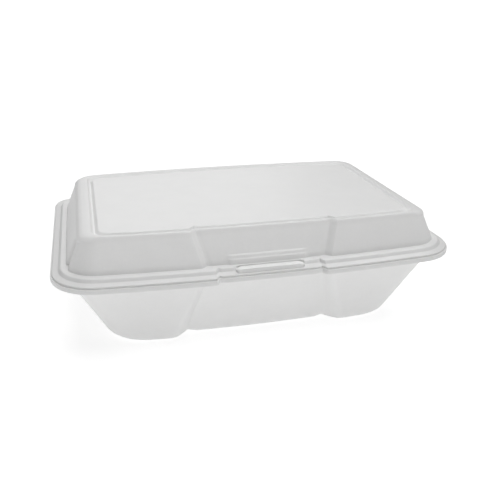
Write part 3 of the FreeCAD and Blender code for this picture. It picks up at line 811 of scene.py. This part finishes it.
# The fold: a half tube along X whose outer arc and inner arc have one centre line
def makeFold():
    turn = np.linspace(-math.pi / 2, math.pi / 2, foldStrip["turns"] + 1)
    outer, inner = foldStrip["radius"], foldStrip["radius"] - foldStrip["thickness"]
    arc = np.stack([np.cos(turn), np.sin(turn)], axis=1)
    ring = np.concatenate([outer * arc, inner * arc[::-1]])
    x = np.linspace(-foldStrip["end"], foldStrip["end"], foldStrip["steps"] + 1)
    points = np.stack(np.broadcast_arrays(x[:, None], hingeReach - outer + ring[:, 0],
                                          splitHeight + ring[:, 1]), axis=2)
    numbers = np.arange(points.shape[0] * points.shape[1]).reshape(points.shape[:2])
    wrapped = np.concatenate([numbers, numbers[:, :1]], axis=1)
    faces = gridFaces(wrapped)[:, :, ::-1].reshape(-1, 4).tolist()
    faces += [numbers[0].tolist(), numbers[-1][::-1].tolist()]
    vertices = points.reshape(-1, 3)
    # Pressed all over, which also paints shade on the fold
    piece = addPiece("hingeFold", vertices, faces, np.ones(len(vertices)), foam, None)
    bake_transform(piece)


makeFold()
print("fold made")

studio = {
    "floorReach": 60.0,            # metres
    "floorTone": 0.6,
    "floorGlow": 0.54,             # light that the floor adds around the model
    "darkSide": (0.12, 0.3, 0.2),  # it falls off between two places on the right to a share
    "shownGlow": 0.67,             # the floor's glow as the camera sees it
    "farGlow": 1.1,                # where the soft boxes don't reach
    "glowRun": (0.6, 2.6),         # metres from the middle between the two
    "worldTone": 0.02,             # light from above the horizon
    "shownWorld": 1.05,            # the same as the camera sees it
}


# A value that passes smoothly from one to another between two places of what feeds it
def smoothPass(nodes, links, source, places, values):
    node = nodes.new("ShaderNodeMapRange")
    node.interpolation_type = "SMOOTHSTEP"
    links.new(source, node.inputs["Value"])
    for name, value in zip(("From Min", "From Max", "To Min", "To Max"), (*places, *values)):
        node.inputs[name].default_value = value
    return node.outputs["Result"]


# A mix that gives its first value as light and shows its second one to the camera
def shownMix(nodes, links):
    path, mix = nodes.new("ShaderNodeLightPath"), nodes.new("ShaderNodeMix")
    links.new(path.outputs["Is Camera Ray"], mix.inputs["Factor"])
    return mix


def makeFloor():
    reach = studio["floorReach"]
    mesh = bpy.data.meshes.new("studioFloor")
    corners = [(-reach, -reach, 0), (reach, -reach, 0), (reach, reach, 0), (-reach, reach, 0)]
    mesh.from_pydata(corners, [], [(0, 1, 2, 3)])
    material = bpy.data.materials.new("paleFloor")
    material.use_nodes = True
    nodes, links = material.node_tree.nodes, material.node_tree.links
    shader = nodes["Principled BSDF"]
    shader.inputs["Base Color"].default_value = (*[studio["floorTone"]] * 3, 1)
    shader.inputs["Roughness"].default_value = 0.9
    shader.inputs["Specular IOR Level"].default_value = 0.1
    shader.inputs["Emission Color"].default_value = (1, 1, 1, 1)
    place, distance = nodes.new("ShaderNodeTexCoord"), nodes.new("ShaderNodeVectorMath")
    distance.operation = "LENGTH"
    links.new(place.outputs["Object"], distance.inputs[0])
    seen = smoothPass(nodes, links, distance.outputs["Value"], studio["glowRun"],
                      (studio["shownGlow"], studio["farGlow"]))
    split, given = nodes.new("ShaderNodeSeparateXYZ"), nodes.new("ShaderNodeMath")
    links.new(place.outputs["Object"], split.inputs[0])
    fallEnds, darkShare = studio["darkSide"][:2], studio["darkSide"][2]
    fall = smoothPass(nodes, links, split.outputs["X"], fallEnds, (1.0, darkShare))
    given.operation = "MULTIPLY"
    given.inputs[0].default_value = studio["floorGlow"]
    links.new(fall, given.inputs[1])
    shown = shownMix(nodes, links)
    links.new(given.outputs[0], shown.inputs["A"])
    links.new(seen, shown.inputs["B"])
    links.new(shown.outputs["Result"], shader.inputs["Emission Strength"])
    mesh.materials.append(material)
    floor = bpy.data.objects.new("studioFloor", mesh)
    bpy.context.scene.collection.objects.link(floor)


def makeWorld():
    world = bpy.data.worlds.new("studioWorld")
    world.use_nodes = True
    nodes, links = world.node_tree.nodes, world.node_tree.links
    background = nodes["Background"]
    background.inputs["Color"].default_value = (1, 1, 1, 1)
    strength = shownMix(nodes, links)
    strength.inputs["A"].default_value = studio["worldTone"]
    strength.inputs["B"].default_value = studio["shownWorld"]
    links.new(strength.outputs["Result"], background.inputs["Strength"])
    bpy.context.scene.world = world


# Soft boxes: place and width in metres, power in watts. Each looks at the model.
softBoxes = {
    "overhead": {"place": (0.35, 0.0, 1.6), "width": 2.0, "power": 28.0},
    "front": {"place": (-0.1, -1.6, 0.6), "width": 1.2, "power": 4.1},
    "left": {"place": (-1.5, 0.4, 0.5), "width": 0.8, "power": 2.2},
    "back": {"place": (0.0, 1.8, 1.0), "width": 1.4, "power": 6.5},
}


def makeSoftBoxes():
    for name, box in softBoxes.items():
        light = bpy.data.lights.new(name, "AREA")
        light.size = box["width"]
        light.energy = box["power"]
        lamp = bpy.data.objects.new(name, light)
        lamp.location = box["place"]
        lamp.rotation_euler = (-Vector(box["place"])).to_track_quat("-Z", "Y").to_euler()
        bpy.context.scene.collection.objects.link(lamp)


camera = {
    "place": (-91.5, -383.0, 189.9),     # millimetres
    "turn": (67.833, -0.399, -14.393),   # degrees
    "lens": 46.15, "sensor": 36.0,
    "near": 0.01, "far": 200.0,          # metres
}


def makeCamera():
    data = bpy.data.cameras.new("studioCamera")
    data.lens, data.sensor_width = camera["lens"], camera["sensor"]
    data.clip_start, data.clip_end = camera["near"], camera["far"]
    view = bpy.data.objects.new("studioCamera", data)
    view.location = [value * mm for value in camera["place"]]
    view.rotation_euler = [math.radians(value) for value in camera["turn"]]
    bpy.context.scene.collection.objects.link(view)
    bpy.context.scene.camera = view


makeFloor()
makeWorld()
makeSoftBoxes()
makeCamera()
bpy.context.scene.view_settings.view_transform = "Standard"
print("studio ready")
